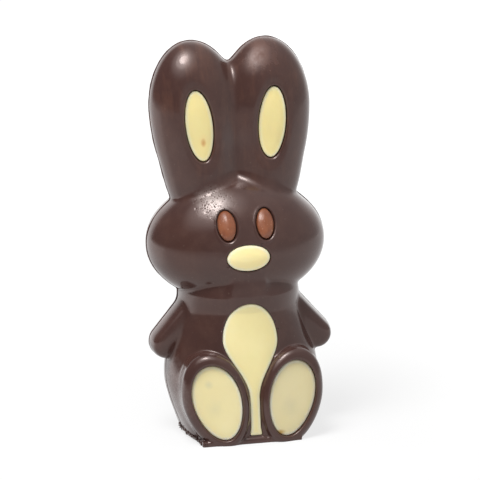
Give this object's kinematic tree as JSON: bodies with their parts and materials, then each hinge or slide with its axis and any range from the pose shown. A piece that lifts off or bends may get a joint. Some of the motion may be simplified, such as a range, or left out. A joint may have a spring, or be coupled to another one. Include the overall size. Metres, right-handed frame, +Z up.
{
  "type": "moulded chocolate bunny",
  "caption": "Sitting bunny moulded in dark chocolate, upright rounded ears, soles to the front, white chocolate inlays on ears, nose, belly and soles, milk chocolate eyes.",
  "frame": {"origin": "on the flat base, below the middle of the parting plane of the mould", "axes": "+Z up, -Y towards the viewer that the bunny looks at, +X towards the bunny's own left side"},
  "size_m": [0.0648, 0.0542, 0.137],
  "materials": {
    "dark_chocolate": "glossy moulded dark chocolate",
    "white_chocolate": "satin white chocolate, pale yellow",
    "milk_chocolate": "satin milk chocolate"
  },
  "bodies": {
    "root": {"dark_chocolate_body": "dark_chocolate", "nose_inlay": "white_chocolate", "belly_inlay": "white_chocolate", "left_ear_inlay": "white_chocolate", "right_ear_inlay": "white_chocolate", "left_foot_pad": "white_chocolate", "right_foot_pad": "white_chocolate", "left_eye": "milk_chocolate", "right_eye": "milk_chocolate"}
  },
  "joints": []
}
